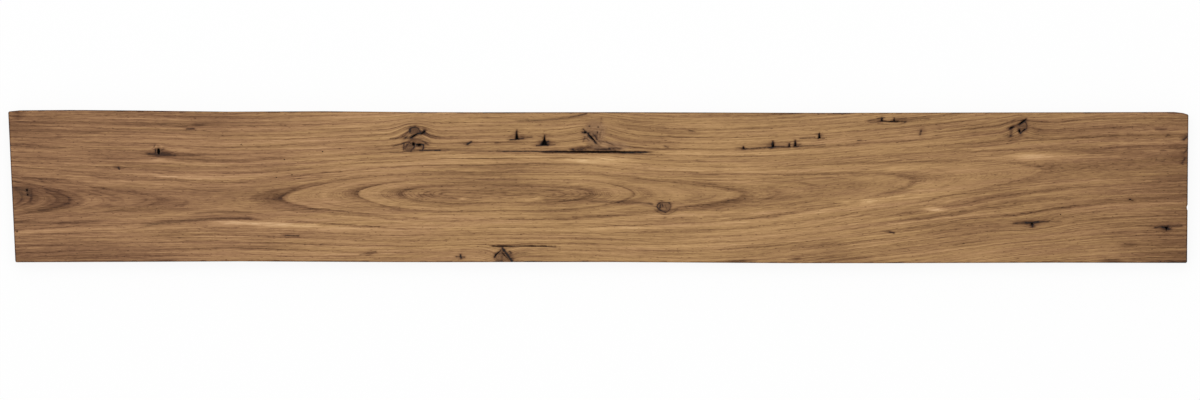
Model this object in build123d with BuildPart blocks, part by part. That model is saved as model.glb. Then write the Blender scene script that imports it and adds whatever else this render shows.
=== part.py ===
from build123d import *
import os

# Reclaimed elm board: one flat-sawn plank, planed and oiled, lying on its underside.
# X runs along the board, +Y towards its back edge and +Z up. The origin is the middle of
# the underside. Sizes are in millimetres. A place on the face is a pair of shares: along,
# from the left end, and across, from the front edge, so that it follows the board's size.

# The plank
board_length = 1806.0
board_width = 234.0
board_thickness = 30.0
face_arris_radius = 2.0
underside_arris_radius = 1.2
corner_radius = 2.5

# The ends are cross-cut by hand, so neither is square to the edges.
left_end_skew = 11.0
right_end_skew = 2.0

# Hollows worn and planed into the long edges: (along, hollow below the widest line)
back_edge_hollows = [
    (0.12, 0.5),
    (0.20, 2.0),
    (0.26, 1.3),
    (0.33, 2.4),
    (0.50, 2.7),
    (0.67, 3.8),
    (0.84, 3.2),
]
front_edge_hollows = [
    (0.10, 2.1),
    (0.20, 2.9),
    (0.33, 1.7),
    (0.50, 1.9),
    (0.67, 0.1),
    (0.84, 0.7),
]
front_left_hollow = 1.5
front_right_hollow = 0.5

# Bruised corner at the back left, and the corner split off at the back right
bruise_length = 18.0
bruise_depth = 1.8
split_length = 22.0
split_depth = 6.5
split_knee_share = 0.4
split_knee_depth = 4.0
split_start_hollow = 2.5

# Nick knocked out of the right end
nick_across = 0.364
nick_depth = 2.6
nick_radius = 8.0

# Seasoning checks in the face: (name, along from, along to, across, width, depth)
seasoning_checks = [
    ("long check", 0.4500, 0.5470, 0.7288, 2.8, 9.0),
    ("front check, left", 0.4080, 0.4290, 0.1110, 1.5, 5.0),
    ("front check, right", 0.4320, 0.4635, 0.1125, 1.5, 5.0),
    ("back check", 0.7385, 0.7610, 0.9275, 1.4, 4.0),
]
check_floor_share = 0.35

# Open pin knots, each the spike that a dead twig left. Its base is on a growth ring, and a
# negative height points to the front: (along, across, base, height, depth)
open_pin_knots = [
    (0.4310, 0.8098, 6.0, 16.0, 8.0),
    (0.4543, 0.7719, 11.0, 15.0, 9.0),
    (0.6231, 0.7477, 5.0, 4.0, 5.0),
    (0.6482, 0.7601, 4.5, 9.0, 7.0),
    (0.6619, 0.7614, 3.2, 4.6, 5.0),
    (0.6669, 0.7634, 4.2, 9.6, 7.0),
    (0.6874, 0.8163, 4.2, 10.0, 8.0),
    (0.7403, 0.9300, 3.2, 5.0, 5.0),
    (0.7506, 0.9270, 3.6, 5.5, 6.0),
    (0.8674, 0.2650, 5.0, -5.2, 6.0),
    (0.9813, 0.2380, 6.5, -6.0, 7.0),
]
spike_waist_share = 0.22
spike_floor_share = 0.30

# Round and oval knot holes: (along, across, length along, length across, depth)
knot_holes = [
    (0.1275, 0.7307, 4.8, 9.6, 9.0),
    (0.0159, 0.4790, 3.6, 3.2, 5.0),
    (0.0166, 0.4484, 2.4, 3.0, 4.0),
    (0.3434, 0.7791, 4.4, 5.2, 7.0),
    (0.3482, 0.7745, 6.4, 3.8, 8.0),
    (0.4888, 0.8556, 2.8, 2.6, 5.0),
    (0.8567, 0.8647, 3.4, 5.6, 6.0),
]
hole_floor_share = 0.45

# Splits through the heart of a knot: (along, across, length, angle to the edge, width, depth)
knot_splits = [
    (0.3443, 0.8350, 13.5, 30.0, 2.0, 5.0),
    (0.3517, 0.8545, 9.5, 39.0, 2.2, 5.0),
    (0.4946, 0.8203, 19.5, -48.0, 2.4, 5.0),
    (0.8501, 0.8869, 7.5, 25.0, 2.4, 5.0),
    (0.8591, 0.9242, 15.5, 36.0, 2.6, 6.0),
    (0.8604, 0.8700, 5.5, 38.0, 1.8, 5.0),
    (0.4142, 0.0595, 13.0, 46.0, 1.4, 4.0),
    (0.4207, 0.0516, 18.0, -45.0, 1.5, 4.0),
]

# Beetle flight holes: (along, across)
flight_holes = [
    (0.1974, 0.7758),
    (0.2664, 0.7307),
    (0.2340, 0.6784),
    (0.2405, 0.5784),
    (0.2273, 0.5614),
    (0.9504, 0.4157),
    (0.8917, 0.3190),
    (0.0076, 0.2072),
]
flight_hole_diameter = 1.8
flight_hole_depth = 12.0


def on_board(along, across):
    """The place on the board that lies these shares from its left end and front edge."""
    return ((along - 0.5) * board_length, (across - 0.5) * board_width)


def back_point(along, hollow):
    """A point on the back edge, this far inside the board's widest line."""
    x, y = on_board(along, 1.0)
    return (x, y - hollow)


def front_point(along, hollow):
    """A point on the front edge, this far inside the board's widest line."""
    x, y = on_board(along, 0.0)
    return (x, y + hollow)


def check_pocket(length, width, depth):
    """A drying check: a pointed slit along the grain that closes as it goes down."""
    with BuildPart() as pocket:
        for level, share in ((0, 1.0), (-depth, check_floor_share)):
            half = length / 2 * (1 + share) / 2
            belly = width / 2 * share
            with BuildSketch(Plane.XY.offset(level)):
                with BuildLine():
                    ThreePointArc((-half, 0), (0, belly), (half, 0))
                    ThreePointArc((half, 0), (0, -belly), (-half, 0))
                make_face()
        loft()
    return pocket.part


def spike_pocket(base, height, depth):
    """The void of a pin knot: a spike with hollow sides, narrowing towards the pith."""
    with BuildPart() as pocket:
        for level, share in ((0, 1.0), (-depth, spike_floor_share)):
            half, tip = base / 2 * share, height * share
            waist = base * spike_waist_share * share
            with BuildSketch(Plane.XY.offset(level)):
                with BuildLine():
                    ThreePointArc((half, 0), (waist, tip * 0.45), (0, tip))
                    ThreePointArc((0, tip), (-waist, tip * 0.45), (-half, 0))
                    Line((-half, 0), (half, 0))
                make_face()
        loft()
    return pocket.part


def hole_pocket(length_along, length_across, depth):
    """A knot hole: an oval mouth over a smaller oval floor."""
    with BuildPart() as pocket:
        for level, share in ((0, 1.0), (-depth, hole_floor_share)):
            with BuildSketch(Plane.XY.offset(level)):
                Ellipse(length_along / 2 * share, length_across / 2 * share)
        loft()
    return pocket.part


# The plank and everything that age and use took out of it
with BuildPart() as elm_board:
    with BuildSketch():
        with BuildLine():
            back_left = back_point(bruise_length / board_length, 0)
            split_start = back_point(1 - split_length / board_length, split_start_hollow)
            split_knee = back_point(1 - split_length * split_knee_share / board_length, split_knee_depth)
            split_end = back_point(1, split_depth)
            front_right = front_point(1 - right_end_skew / board_length, front_right_hollow)
            front_left = front_point(left_end_skew / board_length, front_left_hollow)
            bruise_end = back_point(0, bruise_depth)
            Spline(back_left, *[back_point(*hollow) for hollow in back_edge_hollows], split_start)
            Polyline(split_start, split_knee, split_end, front_right)
            Spline(
                front_right,
                *[front_point(*hollow) for hollow in reversed(front_edge_hollows)],
                front_left,
            )
            Polyline(front_left, bruise_end, back_left)
        outline = make_face()
        ends = outline.vertices().group_by(Axis.X)
        fillet([ends[0][0], ends[1][0], ends[-1][0], ends[-2][0]], corner_radius)
    extrude(amount=board_thickness)
    fillet(faces().sort_by(Axis.Z)[-1].edges(), face_arris_radius)
    fillet(faces().sort_by(Axis.Z)[0].edges(), underside_arris_radius)

    # Nick in the right end, right through the board
    with BuildSketch():
        nick_x, nick_y = on_board(1, nick_across)
        with Locations((nick_x + nick_radius - nick_depth, nick_y)):
            Circle(nick_radius)
    extrude(amount=board_thickness, mode=Mode.SUBTRACT)

    # Seasoning checks
    for _, start, end, across, width, depth in seasoning_checks:
        x, y = on_board((start + end) / 2, across)
        with Locations((x, y, board_thickness)):
            add(check_pocket((end - start) * board_length, width, depth), mode=Mode.SUBTRACT)

    # Open pin knots
    for along, across, base, height, depth in open_pin_knots:
        with Locations((*on_board(along, across), board_thickness)):
            add(spike_pocket(base, height, depth), mode=Mode.SUBTRACT)

    # Knot holes
    for along, across, length_along, length_across, depth in knot_holes:
        with Locations((*on_board(along, across), board_thickness)):
            add(hole_pocket(length_along, length_across, depth), mode=Mode.SUBTRACT)

    # Splits through the knots
    for along, across, length, angle, width, depth in knot_splits:
        with Locations(Location((*on_board(along, across), board_thickness), (0, 0, angle))):
            add(check_pocket(length, width, depth), mode=Mode.SUBTRACT)

    # Flight holes
    with Locations(*[(*on_board(*place), board_thickness) for place in flight_holes]):
        Hole(flight_hole_diameter / 2, depth=flight_hole_depth)

elm_board.part.label = "elm_board"

os.makedirs("parts", exist_ok=True)
export_step(elm_board.part, "parts/elm_board.step")
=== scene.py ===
# %% [markdown]
# # A reclaimed elm board
#
# This script dresses one flat-sawn elm plank, 1806 mm long, 234 mm wide and 30 mm thick.
# The plank itself comes from CAD: its out-of-square ends, worn edges, split corner, checks
# and knot holes are already solid. What is missing is the wood: growth rings, fibres, pores,
# tight knots, stains and the wear of a board that has had a life before this one.
#
# Everything here is in the CAD's frame: X along the board, Y across it, Z up. Blender works
# in metres, and wood is easier to think of in millimetres, so most values below are in mm.

import math

import bpy
import numpy as np
from mathutils.kdtree import KDTree
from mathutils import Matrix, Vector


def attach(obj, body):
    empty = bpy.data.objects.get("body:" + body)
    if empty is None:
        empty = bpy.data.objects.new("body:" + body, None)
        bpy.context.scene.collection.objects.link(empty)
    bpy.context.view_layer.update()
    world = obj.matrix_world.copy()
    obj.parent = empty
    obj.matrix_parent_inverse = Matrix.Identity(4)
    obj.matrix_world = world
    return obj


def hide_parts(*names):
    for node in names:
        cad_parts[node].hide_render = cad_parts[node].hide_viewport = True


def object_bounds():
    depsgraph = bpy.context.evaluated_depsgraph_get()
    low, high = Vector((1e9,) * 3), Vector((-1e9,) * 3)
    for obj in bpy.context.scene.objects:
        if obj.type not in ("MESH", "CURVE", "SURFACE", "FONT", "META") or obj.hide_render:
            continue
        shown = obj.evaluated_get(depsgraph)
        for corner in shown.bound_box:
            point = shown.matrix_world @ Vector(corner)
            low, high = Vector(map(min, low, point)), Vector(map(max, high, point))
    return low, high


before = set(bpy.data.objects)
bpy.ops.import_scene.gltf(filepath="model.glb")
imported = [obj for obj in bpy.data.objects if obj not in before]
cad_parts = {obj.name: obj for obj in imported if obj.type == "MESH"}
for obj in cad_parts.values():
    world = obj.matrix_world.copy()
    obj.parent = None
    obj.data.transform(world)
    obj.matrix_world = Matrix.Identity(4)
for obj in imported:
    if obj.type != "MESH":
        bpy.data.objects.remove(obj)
cad_bounds = [list(corner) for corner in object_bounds()]
cad_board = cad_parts["elm_board"]
MM = 0.001
board_thickness = 30.0
print("CAD box in m:", cad_bounds)

# %% [markdown]
# ## Reading the photograph
#
# The arches, the ring lines and the stained cracks were read on enlargements of the
# photograph. They are noted below in its pixels, by column and row from its top left corner.
# One scale and one place turn them into millimetres on the board's face.

# %% From the photograph to the board
PHOTO_MM_PER_PIXEL = 1.53
PHOTO_MIDDLE_COLUMN = 598.3
PHOTO_MIDDLE_ROW = 186.8


def on_face(column, row):
    """The place on the board's face, in mm, of a place in the photograph."""
    along = (column - PHOTO_MIDDLE_COLUMN) * PHOTO_MM_PER_PIXEL
    return along, (PHOTO_MIDDLE_ROW - row) * PHOTO_MM_PER_PIXEL


print("the photograph's top left corner on the board, in mm:", on_face(0, 0))

# %% [markdown]
# ## Ring by ring
#
# A tree's rings are cones round its pith. This board was sawn from beside the pith, which
# ran some 93 mm below the face under the long eye, and deepest, some 111 mm, at the right
# end. Where the face cuts a ring at a low angle we see the long arches and eyes that make
# flat-sawn wood lively.
#
# In the column through the long eye, each dark line below it is the start of a ring. Its row
# and the pith's depth give that ring's radius. No two summers are alike, so each ring also has
# its own darkness and paleness.

# %% The rings
EYE_ROW = 194.5
EYE_PITH_DEPTH = 93.0
# The dark lines below the middle of the eye, from the eye's own outline to the front edge
LINE_ROWS = (203, 210, 217, 226, 232, 237, 242, 248, 254, 260)
# The rings inside and outside these only show on the ends, the underside and a corner
INNER_RINGS = 9
INNER_WIDTH = 3.7
OUTER_WIDTH = 5.0
# Darkness of each ring's spring line and paleness of its summer band, from the pith outwards
RING_TRAITS = (
    (0.7, 0.4), (0.6, 0.3), (0.8, 0.5), (0.5, 0.3), (0.7, 0.6), (0.9, 0.3), (0.6, 0.4), (0.7, 0.3),
    (0.8, 0.3), (0.8, 0.2), (1.0, 0.4), (1.0, 0.6), (0.9, 1.0), (0.6, 0.4), (0.6, 0.7), (0.6, 0.6),
    (0.7, 0.3), (0.6, 0.5), (0.9, 0.5), (0.6, 0.4), (0.7, 0.6), (0.8, 0.4), (0.7, 0.6), (0.6, 0.3),
    (0.7, 0.6), (0.6, 0.3), (0.8, 0.5), (0.5, 0.4), (0.7, 0.4),
)


def uneven(number, width):
    """How much wider or narrower than the last the wood up to this ring grew, in mm."""
    return 0.2 * width * math.sin(2.4 * number)


outer_rings = len(RING_TRAITS) - INNER_RINGS - len(LINE_ROWS)
line_radii = [math.hypot((row - EYE_ROW) * PHOTO_MM_PER_PIXEL, EYE_PITH_DEPTH) for row in LINE_ROWS]
inner_radii = [line_radii[0] - INNER_WIDTH * k + uneven(k, INNER_WIDTH) for k in range(INNER_RINGS, 0, -1)]
outer_radii = [line_radii[-1] + OUTER_WIDTH * k + uneven(k, OUTER_WIDTH) for k in range(1, outer_rings + 1)]
ring_radii = inner_radii + line_radii + outer_radii
print("ring radii in mm:", [round(radius, 1) for radius in ring_radii])

# %% [markdown]
# ## Growth rings
#
# The rings aren't drawn: we say where the pith lay, and each corner of the mesh works out
# how far it is from it. The edges, the ends and the underside then show the same rings. An
# arch has its tip where the pith is as deep below the face as that ring's radius, so the tips
# seen in the photograph tell how deep it lay.

# %% Where the pith lay
# Column and row of the middle of the arches, the row of the outer rings' middle, as they grew
# off centre, and how many rings lie between the pith and the face: a whole number at a tip
PITH_LINE = (
    (0, 197, 199, 8.3),
    (30, 198.5, 199, 9.0),
    (68, 200, 199, 10.0),
    (110, 200.5, 199.5, 10.6),
    (157, 200, 200, 11.0),
    (220, 200, 201, 11.35),
    (283, 198, 201, 11.0),
    (358, 193.5, 200, 10.0),
    (402, 194, 199, 9.0),
    (425, 194, 198, 8.8),
    (500, 194.5, 196, 8.75),
    (565, 194, 196, 8.85),
    (590, 193.5, 196.5, 9.0),
    (632, 193.5, 199, 10.0),
    (742, 194.5, 199, 11.0),
    (912, 181, 184, 12.0),
    (1045, 170, 169, 13.0),
    (1120, 167, 164, 13.2),
    (1200, 164, 162, 13.35),
)
# Within about this far of the pith's line the rings keep to the arches' middle
OUTER_REACH = 40.0


def station(column, row, outer_row, rings_deep):
    """One station in mm: along, the arches' and the outer rings' middle, and the pith's depth."""
    pith_depth = np.interp(rings_deep, range(len(ring_radii)), ring_radii)
    return *on_face(column, row), on_face(column, outer_row)[1], pith_depth


pith_stations = np.array([station(*place) for place in PITH_LINE])


def between_stations(x, kind):
    """A smooth curve through one kind of the stations' values, at these places along the board."""
    along, values = pith_stations[:, 0], pith_stations[:, kind]
    step = np.diff(along)
    slope = np.diff(values) / step
    middle = (slope[:-1] * step[1:] + slope[1:] * step[:-1]) / (step[:-1] + step[1:])
    turn = np.concatenate(([slope[0]], middle, [slope[-1]]))
    left = np.clip(np.searchsorted(along, x) - 1, 0, len(step) - 1)
    share = (x - along[left]) / step[left]
    return (
        (2 * share**3 - 3 * share**2 + 1) * values[left]
        + (share**3 - 2 * share**2 + share) * step[left] * turn[left]
        + (3 * share**2 - 2 * share**3) * values[left + 1]
        + (share**3 - share**2) * step[left] * turn[left + 1]
    )


def pith_at(x):
    """Where the pith's line lies across the board at one place, and how deep, in mm."""
    return [float(between_stations(np.array([float(x)]), kind)[0]) for kind in (1, 3)]


def across_from_pith(x, y):
    """How far each place is across the board from the middle of the rings there, in mm."""
    arches, outer = between_stations(x, 1), between_stations(x, 2)
    far = 1 - np.exp(-(((y - arches) / OUTER_REACH) ** 2))
    return y - arches - (outer - arches) * far


print("the pith at the middle of the board, across and deep:", pith_at(0))

# %% [markdown]
# ## Knots
#
# A knot is the foot of a branch. The trunk's rings are drawn out along it, so on the face
# the rings swell outwards round a knot and crowd together beside it. Each knot here is a
# branch that runs from the pith to its place on the face, so it also comes out, smaller and
# nearer to the middle, on the underside.

# %% The knots and how they push the rings
# x, y, half length and half width, then the push and its half length and half width, in mm,
# and how much the body hides the trunk's rings and how pale it is
KNOTS = {
    "back left, upper": (-281, 85, 9.5, 7.0, 13.0, 24, 17, 0.90, 0.08),
    "back left, lower": (-290, 60, 9.0, 6.5, 2.0, 15, 8, 0.90, 0.08),
    "above the long check": (-5, 83, 17.0, 21.0, 10.0, 40, 20, 0.75, 0.65),
    "beside the long check": (19, 62, 30.0, 9.0, 0.0, 30, 9, 0.55, 0.75),
    "round and tight": (101, -31, 10.0, 7.0, 4.0, 18, 11, 0.80, 0.25),
    "back right": (648, 91, 8.0, 7.5, 10.0, 22, 15, 0.80, 0.12),
    "front edge": (-147, -106, 13.0, 10.0, 9.0, 24, 14, 0.80, 0.25),
    "pin near the front": (664, -58, 2.5, 2.5, 8.0, 60, 22, 0.00, 0.00),
    "oval hole": (-673, 55, 5.0, 7.0, 3.0, 14, 9, 0.40, 0.60),
    "left end": (-880, -8, 13.0, 11.0, 2.0, 14, 9, 0.35, 0.35),
    "right end": (860, 42, 9.0, 6.0, 3.0, 15, 8, 0.25, 0.50),
}


def knot_offset(x, y, depth, spot, size):
    """How far each place is from a knot's heart, as shares of the knot's own half sizes."""
    pith_line, pith_depth = pith_at(spot[0])
    shrink = (pith_depth - depth) / pith_depth
    heart = pith_line + (spot[1] - pith_line) * shrink
    return (x - spot[0]) / (size[0] * shrink), (y - heart) / (size[1] * shrink)


def pushed_across(x, y, depth):
    """Where across the board a place would be if no knot had pushed the grain aside."""
    flow = y.copy()
    for knot_x, knot_y, _, _, push, reach_x, reach_y, *_ in KNOTS.values():
        out_x, out_y = knot_offset(x, y, depth, (knot_x, knot_y), (reach_x, reach_y))
        side = math.copysign(1, knot_y - pith_at(knot_x)[0])
        flow -= side * push * np.exp(-(out_x**2) - out_y**2)
    return flow


def nearest_knot(x, y, depth):
    """The smallest knot reach at each place, and the body and paleness of that knot."""
    reach = np.full(len(x), 9.0)
    bodies = np.zeros((2, len(x)))
    for knot_x, knot_y, half_length, half_width, _, _, _, *body in KNOTS.values():
        out = knot_offset(x, y, depth, (knot_x, knot_y), (half_length, half_width))
        here = np.hypot(*out)
        closer = here < reach
        reach[closer] = here[closer]
        bodies[:, closer] = np.array(body)[:, None]
    return reach, *bodies


print("knots:", ", ".join(KNOTS))

# %% [markdown]
# ## Stained cracks and dead bark
#
# Round a knot the wood is torn, and dirt and tannin have drawn every tear in brown and
# black. They are thin lines, so we note each as a few points, as a pencil would follow it.

# %% The stained lines
# A line is its half width in mm, how dark it is, and its points in the photograph, each a
# column and a row
STAINED_LINES = (
    # Back left, upper
    (1.6, 0.95, (410, 129), (410, 132)),
    (1.2, 0.8, (411, 128), (415, 127)),
    (0.8, 0.7, (415, 127), (418, 128), (420.5, 132)),
    (1.4, 1, (411, 137.5), (414, 135.5), (418, 133.5), (421, 133.5), (424.5, 131)),
    (1.5, 1, (424, 131), (424.3, 133.2)),
    (0.8, 0.55, (425, 132), (430, 135), (436, 136.5), (440, 137)),
    (0.8, 0.45, (425, 134), (430, 137), (436, 138.5)),
    (0.8, 0.3, (423, 138), (431, 142)),
    (1, 0.45, (408, 132), (404, 136), (400, 138), (390, 138.5)),
    (0.9, 0.45, (408, 136), (403, 139)),
    (2.4, 0.4, (405, 138), (412, 138)),
    (3, 0.3, (413, 139.5), (421, 139.5)),
    (4.2, 0.25, (414, 131), (418, 131)),
    # Back left, lower
    (0.9, 0.7, (402, 143.5), (405, 142.5), (409, 142), (411, 143.5)),
    (0.9, 0.65, (404, 143), (403.5, 150)),
    (1.6, 0.9, (412.8, 143), (413.2, 144)),
    (1, 0.9, (414, 144), (414.5, 147), (412, 149.5), (411, 151)),
    (0.9, 0.5, (407, 144), (405, 149)),
    (0.9, 0.5, (409, 143), (406, 147)),
    (1.8, 1, (417, 144.8), (421, 144.8)),
    (0.9, 0.8, (414, 143.5), (417, 144.5)),
    (0.9, 0.8, (421, 144.8), (423, 144.5)),
    (1, 0.9, (423.5, 145), (423.5, 148), (422, 150.5)),
    (0.9, 0.7, (425, 143), (428, 144.5)),
    (0.9, 0.6, (404, 151.5), (411, 151), (420, 150.6)),
    (0.9, 0.85, (420, 150.5), (435, 150.3), (440, 150.3)),
    (0.8, 0.5, (393, 146.5), (397, 145.3), (402, 144)),
    (0.8, 0.4, (390, 152.3), (403, 152.3)),
    # Above the long check
    (1.7, 1, (584.6, 132.4), (585.8, 132.4)),
    (0.9, 0.7, (582, 132.5), (584.6, 132.4)),
    (0.9, 0.6, (583, 129), (586, 131.5)),
    (1.1, 0.7, (589.2, 126.3), (589.8, 126.3)),
    (1.1, 0.7, (597.9, 127), (598.5, 127)),
    (0.9, 0.4, (601, 122), (601, 123)),
    (0.9, 0.35, (601.5, 118), (601.5, 119)),
    (0.7, 0.45, (588, 132), (597.5, 132)),
    (1.1, 0.7, (597.5, 132), (597.5, 133)),
    (4.6, 0.4, (590.5, 135.5), (596, 135.5)),
    (1.9, 0.55, (588, 133), (588.5, 136), (591, 138), (594, 141), (596, 143)),
    (0.8, 0.75, (588.2, 133.5), (588.8, 136), (591, 138), (594.5, 141.5)),
    (0.9, 0.6, (593, 134), (595, 136), (597, 139.5)),
    (2, 0.3, (597, 139), (601, 143)),
    (0.8, 0.4, (602, 130), (600, 133), (600, 138)),
    (0.8, 0.5, (584, 139), (586, 138), (589, 140.5)),
    (0.8, 0.4, (583, 142), (585, 136.5)),
    (3.5, 0.3, (588, 145), (599, 145)),
    (3.2, 0.22, (578, 148), (590, 147.5)),
    (2.6, 0.25, (599, 148), (617, 148.5)),
    (0.9, 0.5, (606, 141.5), (609, 143.5)),
    (0.9, 0.42, (610, 143.5), (614, 145.5)),
    (2, 0.35, (609, 148.5), (621, 148.5)),
    (1.1, 0.6, (572.5, 149), (573.5, 149)),
    (0.8, 0.3, (570, 117), (580, 115.5), (586, 114)),
    (1.5, 0.4, (570, 149.8), (585, 149.6)),
    (1.5, 0.4, (595, 149.5), (610, 149.5)),
    # Round and tight
    (1, 0.68, (659.5, 203), (657.5, 204.7), (657, 206.7), (658, 208.7), (660.5, 210.2)),
    (1, 0.68, (660.5, 210.2), (663, 211.5), (665.5, 212.2)),
    (0.9, 0.6, (665.5, 212.2), (667.5, 211.5), (669.5, 209.7)),
    (0.9, 0.6, (659.5, 203), (662, 202.3), (667, 202.6), (670, 202.9)),
    (1.1, 0.45, (669, 203), (671, 205), (670.5, 207.5), (669.8, 209)),
    (0.9, 0.85, (660.3, 204.5), (660.2, 207.5)),
    (1, 0.85, (662, 204), (663, 206.5)),
    (0.8, 0.5, (665, 205), (666.8, 209)),
    (2.6, 0.25, (650, 203.5), (655, 206)),
    (2.2, 0.32, (658.8, 205), (659.6, 208.3)),
    (0.8, 0.35, (655, 210), (658, 212.3), (662, 214), (668, 214.3), (673, 212.5), (677, 209.5)),
    (0.9, 0.4, (664.2, 217.5), (664.8, 217.5)),
    # Back right
    (1.2, 1, (1010, 128.8), (1013.5, 126.8)),
    (0.8, 0.5, (1014, 126), (1018, 124.5)),
    (1.6, 1, (1019, 124.8), (1022, 123), (1024.5, 121.3)),
    (1, 0.9, (1024.5, 121.3), (1026, 119.3)),
    (0.8, 0.75, (1025.5, 122), (1027, 125.5), (1026.5, 128.5), (1024.5, 130)),
    (1.2, 0.95, (1024.5, 129.5), (1022, 131.8)),
    (1.6, 1, (1019.3, 129.5), (1020.5, 133)),
    (2.6, 0.4, (1011.5, 130.5), (1010.5, 136)),
    (1.8, 0.3, (1004, 136), (1013, 136)),
    (0.8, 0.3, (1012, 122), (1015, 119.5), (1018, 118.5), (1022, 118.5)),
    (0.8, 0.3, (1002, 124.5), (1008, 122), (1014, 120)),
    # Front edge
    (0.6, 0.4, (493, 246.5), (500, 246.7), (507, 246.4)),
    (1.7, 0.95, (502.5, 248), (506, 253), (509, 257), (512, 261.5)),
    (0.9, 0.7, (501, 250), (499, 252), (496.5, 253.5), (495.5, 255)),
    (1.4, 0.95, (495.5, 254.6), (495.2, 256)),
    (1, 0.8, (495.2, 256), (494.5, 257.5)),
    (0.7, 0.45, (497, 253.5), (507, 253.5)),
    (2.8, 0.3, (503, 250.5), (503, 255)),
    (1, 0.5, (496, 261), (502, 261)),
    (3.4, 0.36, (509.5, 252), (512.5, 259)),
    (4, 0.2, (516, 254), (526, 254)),
    (0.7, 0.5, (502, 256), (502, 262)),
    (0.8, 0.6, (509.5, 251.5), (511.5, 253)),
    # Spike in the middle, left
    (0.8, 0.6, (516.4, 131.5), (515.4, 134.5), (515.8, 137.5)),
    (1, 0.85, (510, 139.8), (515, 139.6), (519, 139), (523, 138.5)),
    (0.8, 0.5, (523, 138.2), (532, 137.2)),
    (1.5, 0.3, (521, 136.5), (523, 137)),
    # Spike in the middle, right
    (0.8, 0.7, (545, 135.2), (544.8, 139)),
    (1.3, 0.95, (540.6, 144.6), (542.8, 142.4)),
    (1.1, 0.9, (545.5, 142.6), (548.5, 141.3)),
    (1.2, 0.8, (545, 144), (549, 144.2)),
    (0.8, 0.85, (536.5, 145.4), (548, 145.4)),
    (0.8, 0.5, (548, 145.4), (555, 144.6)),
    (3, 0.25, (540, 142), (548, 142.8)),
    # Pins, back
    (1.7, 0.85, (467.5, 144), (471.3, 141.9)),
    (0.9, 0.5, (463, 143.8), (468, 144.2)),
    (1, 0.5, (495.3, 142.8), (498, 142.8)),
    (1, 0.5, (664.8, 146), (668, 147.2)),
    (1.3, 0.95, (743.2, 147), (743.6, 148.6)),
    (0.8, 0.5, (739, 148), (742, 148.5)),
    (1.1, 0.6, (745, 148.8), (752, 148.6), (762, 147.7), (770, 147.3)),
    (0.9, 0.95, (772.8, 141.5), (772.5, 144)),
    (1.7, 1, (772.5, 144), (772.6, 147)),
    (2.5, 0.3, (767, 144.5), (771, 145)),
    (1, 0.75, (769, 147.5), (771.5, 148)),
    (0.9, 0.8, (771, 147.5), (776, 146.8)),
    (1.0, 0.65, (776, 146.7), (788, 146.8)),
    (1.1, 1, (789.3, 143.8), (789, 146.6)),
    (0.8, 0.95, (795.2, 140.5), (795.2, 143.5)),
    (1.6, 1, (795.3, 143), (795.3, 145.5)),
    (0.9, 0.8, (793.5, 146), (798, 146.3)),
    (0.8, 0.5, (797, 144.5), (801, 144.2)),
    (0.8, 0.45, (798, 146.5), (812, 145.3), (825, 144.7)),
    (1.3, 1, (819, 134), (818.8, 138)),
    (0.9, 0.45, (822, 135), (819.5, 136)),
    (0.8, 0.5, (800, 138.5), (812, 137.8), (818, 138.3)),
    (0.9, 0.5, (822, 138.3), (824.5, 138.4)),
    (0.9, 0.5, (857.5, 140.5), (861.5, 140.2)),
    (1.2, 0.95, (882.3, 118), (881.3, 120.5)),
    (0.8, 0.5, (877, 118.5), (880, 117.8), (885, 117.6)),
    (0.8, 0.5, (868, 121), (872, 120), (877, 119.4), (881, 119)),
    (0.8, 0.4, (870, 122.5), (876, 122.3), (879, 121)),
    (0.7, 0.35, (882.5, 121.4), (887, 121.9), (893, 122), (905, 121.4)),
    (0.9, 0.6, (891, 121.6), (895, 121.3)),
    (0.9, 0.5, (894.5, 118.2), (893.7, 120.5)),
    (0.9, 0.35, (905, 121.3), (909, 120), (913, 119), (920, 118.5), (928, 118.6)),
    (0.8, 0.35, (878, 123), (884, 124.3), (892, 125), (900, 124.3), (905, 123)),
    (2.4, 0.25, (897, 119), (905, 119)),
    (1.6, 0.6, (921.2, 130.3), (920.2, 134.5)),
    (0.9, 0.3, (923, 126.5), (924, 126.5)),
    (0.8, 0.75, (186.5, 129), (194, 128.7)),
    (0.8, 0.45, (196, 124.7), (201, 125)),
    (1, 0.5, (689, 130.6), (693, 130.9)),
    # Pins, front
    (0.9, 0.65, (1013.5, 223.3), (1020, 223), (1026, 222.5)),
    (1.7, 0.8, (1026, 222.9), (1032, 222.4), (1038, 222)),
    (1, 0.6, (1037, 221.8), (1048, 221.6)),
    (0.8, 0.35, (1048, 221.6), (1060, 221.8)),
    (1.5, 1, (1031.7, 224.6), (1033, 224.6)),
    (0.9, 0.8, (1032.3, 225), (1032.4, 226.8)),
    (1, 0.8, (1155, 227.3), (1158, 227), (1163, 226.4), (1168, 226)),
    (0.9, 0.6, (1168, 226), (1175, 226.2), (1182, 226)),
    (2.1, 1, (1166.2, 228.6), (1168, 228.8)),
    (1.4, 0.9, (1162, 227), (1166, 228.5)),
    (1.2, 0.75, (890, 232), (894, 233)),
    (0.9, 0.4, (886, 231.6), (890, 232)),
    (1.3, 0.9, (460.5, 254.8), (461, 258.2)),
    (0.9, 0.65, (456, 256.7), (465, 257.2)),
    (0.9, 0.45, (360, 254.7), (368, 253.2), (376, 251.4)),
    (0.7, 0.35, (366, 255.3), (372, 254)),
    (0.9, 0.7, (285, 235.3), (299, 235.8)),
    (1, 0.7, (1129.5, 199.2), (1131, 199.6)),
    (1.1, 0.32, (1156, 158), (1156.5, 160), (1160, 161), (1163, 161.3), (1165, 159.5)),
    (0.9, 0.5, (1161, 150.3), (1163, 150.3)),
    (1, 0.5, (1166, 136.5), (1168, 135)),
    (0.9, 0.4, (1156, 129.5), (1166, 129.2)),
    (1.6, 0.7, (1183.5, 139.8), (1186.5, 137.5)),
    (1.3, 0.5, (1184, 153), (1187, 150)),
    (1.5, 0.6, (1182, 163), (1185, 158.5)),
    # Oval hole and left end
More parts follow.
